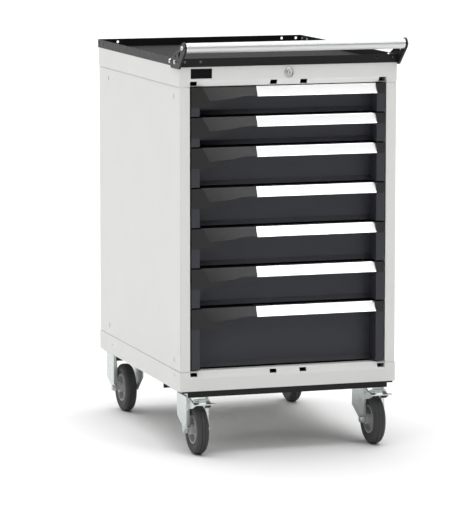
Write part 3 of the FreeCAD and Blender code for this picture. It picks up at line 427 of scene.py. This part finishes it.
def dress(piece: bpy.types.Object, material: bpy.types.Material, body: str) -> None:
    """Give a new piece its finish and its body.

    Args:
        piece: The new object.
        material: Its finish.
        body: Body that it moves with.
    """
    piece.data.materials.append(material)
    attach(piece, body)
    log.info("%s rides on %s", piece.name, body)


def recoat(nodes: Sequence[str], frame: dict, material: bpy.types.Material) -> None:
    """Give carried-over nodes a finish.

    Args:
        nodes: Names of the nodes.
        frame: The loaded frame.
        material: Their finish.
    """
    for name in nodes:
        piece = frame["nodes"][name]
        piece.data.materials.clear()
        piece.data.materials.append(material)
        log.info("%s is finished in %s", name, material.name)


@dataclass
class Body:
    """Painted shell with its uprights, fixed rails and lock."""

    paint: PowderCoat = PowderCoat("light_grey_paint", (0.755, 0.755, 0.738), 0.46, cloud=0.012)
    runner: ZincPlate = ZincPlate("galvanised_runners", (0.56, 0.57, 0.58), (0.45, 0.46, 0.48), 0.4)
    chrome: BrushedMetal = BrushedMetal("lock_chrome", (0.48, 0.48, 0.49), 0.16, streak=(1.0, 1.0, 1.0),
                                        streak_scale=300.0, edge=0.4)
    plate_color: PowderCoat = PowderCoat("blank_plate", (0.004, 0.004, 0.0042), 0.5, cloud=0.05,
                                         gloss=0.1, edge=0.3)
    plate_size: tuple[float, float] = (54.0, 24.0)
    plate_corner: float = 1.2
    plate_thick: float = 1.0
    plate_edge: float = 0.3
    plate_left: float = -253.0
    plate_drop: float = 16.5

    def dress(self, frame: dict) -> None:
        """Finish the shell, the runners and the lock, and add the blank plate.

        Args:
            frame: The loaded frame.
        """
        shell = ["side_panel_left", "side_panel_right", "back_panel", "top_cap", "base_plinth"]
        recoat(shell, frame, self.paint.build())
        rails = ["cabinet_rails", "rail_uprights", "lock_bar"]
        rails += [f"drawer_{number}_middle_rails" for number in range(1, DRAWERS + 1)]
        recoat(rails, frame, self.runner.build())
        recoat(["lock_housing", "lock_barrel"], frame, self.chrome.build())
        dress(self.blank_plate(), self.plate_color.build(), "cabinet")

    def blank_plate(self) -> bpy.types.Object:
        """Blank plate on the front rail: three rounded outlines, set in and forward step by step.

        Returns:
            The plate.
        """
        low, high = (np.array(corner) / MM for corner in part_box("top_cap"))
        width, height = self.plate_size
        centre = np.array([self.plate_left + width / 2, low[1], high[2] - self.plate_drop])
        outline = rounded_outline(width, height, self.plate_corner)
        inset = 1.0 - 2 * self.plate_edge / height
        depths = (0.0, self.plate_thick - self.plate_edge, self.plate_thick)
        scales = (1.0, 1.0, inset)
        rings = [np.insert(outline * scale, 1, -depth, axis=1) for depth, scale in zip(depths, scales)]
        faces = ring_faces(len(rings), len(outline))
        return mesh_object("blank_plate", np.concatenate(rings) + centre, faces)


@dataclass
class Drawers:
    """Drawer fronts, handle profiles with their label strips, and moulded end caps."""

    paint: PowderCoat = PowderCoat("anthracite_paint", (0.035, 0.036, 0.045), 0.45, gloss=0.34, edge=0.35)
    aluminium: BrushedMetal = BrushedMetal("satin_aluminium", (0.80, 0.81, 0.82), 0.3)
    cap: Moulding = Moulding("cap_plastic", (0.007, 0.007, 0.0071), 0.34, grain=0.003, gloss=0.42, edge=0.4)
    card: Moulding = Moulding("label_strip", (0.97, 0.975, 0.975), 0.25, grain=0.001, bloom=0.005,
                              coat=1.0, edge=0.2)
    handle_lean: float = 12.0
    strip_margin: float = 2.0
    strip_thick: float = 0.6
    strip_end: float = 1.5

    def dress(self, frame: dict) -> None:
        """Finish every drawer and add its label strip.

        Args:
            frame: The loaded frame.
        """
        numbers = range(1, DRAWERS + 1)
        recoat([f"drawer_{number}_tub" for number in numbers], frame, self.paint.build())
        recoat([f"drawer_{number}_handle" for number in numbers], frame, self.aluminium.build())
        recoat([f"drawer_{number}_end_caps" for number in numbers], frame, self.cap.build())
        card = self.card.build()
        for number in numbers:
            dress(self.label_strip(number), card, f"drawer_{number}")

    def label_strip(self, number: int) -> bpy.types.Object:
        """Blank strip on a handle's leaning face: its section carried along x.

        Args:
            number: Drawer number from the top.

        Returns:
            The strip.
        """
        low, high = (np.array(corner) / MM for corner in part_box(f"drawer_{number}_handle"))
        foot = np.array([low[1], low[2]])
        head = np.array([low[1] + self.handle_lean, high[2]])
        along = (head - foot) / np.linalg.norm(head - foot)
        outward = np.array([-along[1], along[0]])
        start = foot + along * self.strip_margin
        finish = head - along * self.strip_margin
        half = self.strip_thick / 2
        section = np.array([start, start + outward * half, start + outward * 2 * half + along * half,
                            finish + outward * 2 * half - along * half, finish + outward * half, finish])
        stations = np.array([low[0] + self.strip_end, high[0] - self.strip_end])
        rings = [np.column_stack([np.full(len(section), x), section]) for x in stations]
        return mesh_object(f"label_strip_{number}", np.concatenate(rings), ring_faces(2, len(section)))


@dataclass
class Top:
    """Black tray with its brackets, and the silver push handle."""

    black: PowderCoat = PowderCoat("black_paint", (0.008, 0.008, 0.0083), 0.42, gloss=0.27)
    tube: BrushedMetal = BrushedMetal("handle_tube", (0.64, 0.65, 0.65), 0.42, metallic=0.8)
    zinc: ZincPlate = ZincPlate("bright_fasteners", (0.78, 0.78, 0.78), (0.66, 0.67, 0.68), 0.25, edge=0.4)

    def dress(self, frame: dict) -> None:
        """Finish the tray, brackets, tube and fasteners.

        Args:
            frame: The loaded frame.
        """
        recoat(["top_tray", "handle_brackets", "base_channels"], frame, self.black.build())
        recoat(["push_handle"], frame, self.tube.build())
        recoat(["handle_end_plugs", "handle_bolts", "castor_fasteners"], frame, self.zinc.build())


@dataclass
class Castors:
    """Zinc-plated forks and pedals with grey hubs and rubber tyres."""

    zinc: ZincPlate = ZincPlate("castor_zinc", (0.66, 0.70, 0.69), (0.55, 0.59, 0.58), 0.3,
                                metallic=1.0, pit=0.001, edge=0.6)
    rubber: Moulding = Moulding("tyre_rubber", (0.047, 0.047, 0.049), 0.6, grain=0.03, bloom=0.08, edge=0.25)
    hub: Moulding = Moulding("hub_plastic", (0.42, 0.42, 0.425), 0.42, edge=0.3)

    def dress(self, frame: dict) -> None:
        """Finish forks, plates, pedals, tyres and hubs.

        Args:
            frame: The loaded frame.
        """
        metal = ["castor_plates", "fixed_forks"]
        metal += [f"{piece}_{side.value}" for piece in ("swivel_fork", "brake_pedal") for side in Side]
        recoat(metal, frame, self.zinc.build())
        wheels = [f"{place.value}_{side.value}" for place in Place for side in Side]
        recoat([f"tyre_{wheel}" for wheel in wheels], frame, self.rubber.build())
        recoat([f"hub_{wheel}" for wheel in wheels], frame, self.hub.build())


@dataclass(frozen=True)
class SoftBox:
    """Round patch of soft light in the sky."""

    way: Color
    spread: tuple[float, float]
    strength: float


@dataclass
class Studio:
    """Floor, soft light and the camera of the reference view."""

    floor: StudioFloor = StudioFloor()
    floor_half: float = 40000.0
    sky_heights: tuple[float, float] = (0.4, 0.6)
    sky_strengths: tuple[float, float] = (0.2, 0.5)
    sky_lean: Color = (-1.0, 0.35, 0.0)
    top_box: SoftBox = SoftBox((0.08, 0.2, 0.97), (0.68, 0.88), 2.2)
    front_box: SoftBox = SoftBox((0.303, -0.692, 0.666), (0.97, 0.995), 3.8)
    camera_place: Color = (-2667.3, -8143.1, 1592.3)
    camera_yaw: float = 17.807
    camera_pitch: float = -7.631
    camera_focal: float = 3368.1
    image_width: float = 455.0
    sensor: float = 36.0

    def build(self) -> None:
        """Make the floor, the world and the camera."""
        self.lay_floor()
        self.light()
        self.aim_camera()

    def lay_floor(self) -> None:
        """Flat floor at the height of the castors' contact."""
        half = self.floor_half
        corners = np.array([(-half, -half, 0.0), (half, -half, 0.0), (half, half, 0.0), (-half, half, 0.0)])
        floor = mesh_object("floor", corners, [(0, 1, 2, 3)])
        floor.data.materials.append(self.floor.build())

    def light(self) -> None:
        """World as soft boxes and paler walls, plain white to the camera."""
        world = bpy.data.worlds.new("studio_world")
        bpy.context.scene.world = world
        world.use_nodes = True
        tree = world.node_tree
        tree.nodes.clear()
        output = tree.nodes.new("ShaderNodeOutputWorld")
        boxes = tree.nodes.new("ShaderNodeBackground")
        tree.links.new(self.sky(tree), boxes.inputs["Strength"])
        white = tree.nodes.new("ShaderNodeBackground")
        white.inputs["Strength"].default_value = 1.0
        for node in (boxes, white):
            node.inputs["Color"].default_value = (1.0, 1.0, 1.0, 1.0)
        path = tree.nodes.new("ShaderNodeLightPath")
        mix = tree.nodes.new("ShaderNodeMixShader")
        tree.links.new(path.outputs["Is Camera Ray"], mix.inputs[0])
        tree.links.new(boxes.outputs[0], mix.inputs[1])
        tree.links.new(white.outputs[0], mix.inputs[2])
        tree.links.new(mix.outputs[0], output.inputs["Surface"])

    def sky(self, tree: bpy.types.NodeTree) -> bpy.types.NodeSocket:
        """Strength of the world by direction: wall light that leans left, and the soft boxes.

        Args:
            tree: Node tree of the world.

        Returns:
            The strength.
        """
        way = tree.nodes.new("ShaderNodeTexCoord").outputs["Generated"]
        split = tree.nodes.new("ShaderNodeSeparateXYZ")
        tree.links.new(way, split.inputs[0])
        walls = self.ramp(tree, split.outputs["Z"], self.sky_heights, self.sky_strengths)
        lean = self.along(tree, way, self.sky_lean)
        leaning = tree.nodes.new("ShaderNodeMath")
        leaning.operation = "MULTIPLY_ADD"
        for slot, source in enumerate((walls, lean, walls)):
            tree.links.new(source, leaning.inputs[slot])
        total = leaning.outputs[0]
        for box in (self.top_box, self.front_box):
            patch = self.ramp(tree, self.along(tree, way, box.way), box.spread, (0.0, box.strength))
            add = tree.nodes.new("ShaderNodeMath")
            add.operation = "ADD"
            tree.links.new(total, add.inputs[0])
            tree.links.new(patch, add.inputs[1])
            total = add.outputs[0]
        return total

    @staticmethod
    def along(tree: bpy.types.NodeTree, way: bpy.types.NodeSocket, direction: Color) -> bpy.types.NodeSocket:
        """How far a direction points along a fixed one: their dot product."""
        node = tree.nodes.new("ShaderNodeVectorMath")
        node.operation = "DOT_PRODUCT"
        node.inputs[1].default_value = direction
        tree.links.new(way, node.inputs[0])
        return node.outputs["Value"]

    @staticmethod
    def ramp(tree: bpy.types.NodeTree, value: bpy.types.NodeSocket, span: tuple[float, float],
             results: tuple[float, float]) -> bpy.types.NodeSocket:
        """Smooth step of a value between two results.

        Args:
            tree: Node tree of the world.
            value: The value.
            span: Where the step starts and ends.
            results: Result before and after the step.

        Returns:
            The result.
        """
        node = tree.nodes.new("ShaderNodeMapRange")
        node.interpolation_type = "SMOOTHSTEP"
        for socket, number in zip(("From Min", "From Max", "To Min", "To Max"), span + results):
            node.inputs[socket].default_value = number
        tree.links.new(value, node.inputs["Value"])
        return node.outputs["Result"]

    def aim_camera(self) -> None:
        """Camera at the photograph's place, angle and field of view."""
        data = bpy.data.cameras.new("camera")
        data.sensor_fit = "HORIZONTAL"
        data.sensor_width = self.sensor
        data.lens = self.camera_focal / self.image_width * self.sensor
        data.clip_end = 200.0
        camera = bpy.data.objects.new("camera", data)
        bpy.context.scene.collection.objects.link(camera)
        camera.location = tuple(np.array(self.camera_place) * MM)
        camera.rotation_euler = (math.radians(90.0 + self.camera_pitch), 0.0, -math.radians(self.camera_yaw))
        bpy.context.scene.camera = camera


def main() -> None:
    """Load the frame, build the studio and finish every sub-assembly."""
    logging.basicConfig(level=logging.INFO, format="%(name)s: %(message)s")
    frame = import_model()
    bpy.context.scene.view_settings.view_transform = "Standard"
    Studio().build()
    Body().dress(frame)
    Drawers().dress(frame)
    Top().dress(frame)
    Castors().dress(frame)


if __name__ == "__main__":
    main()
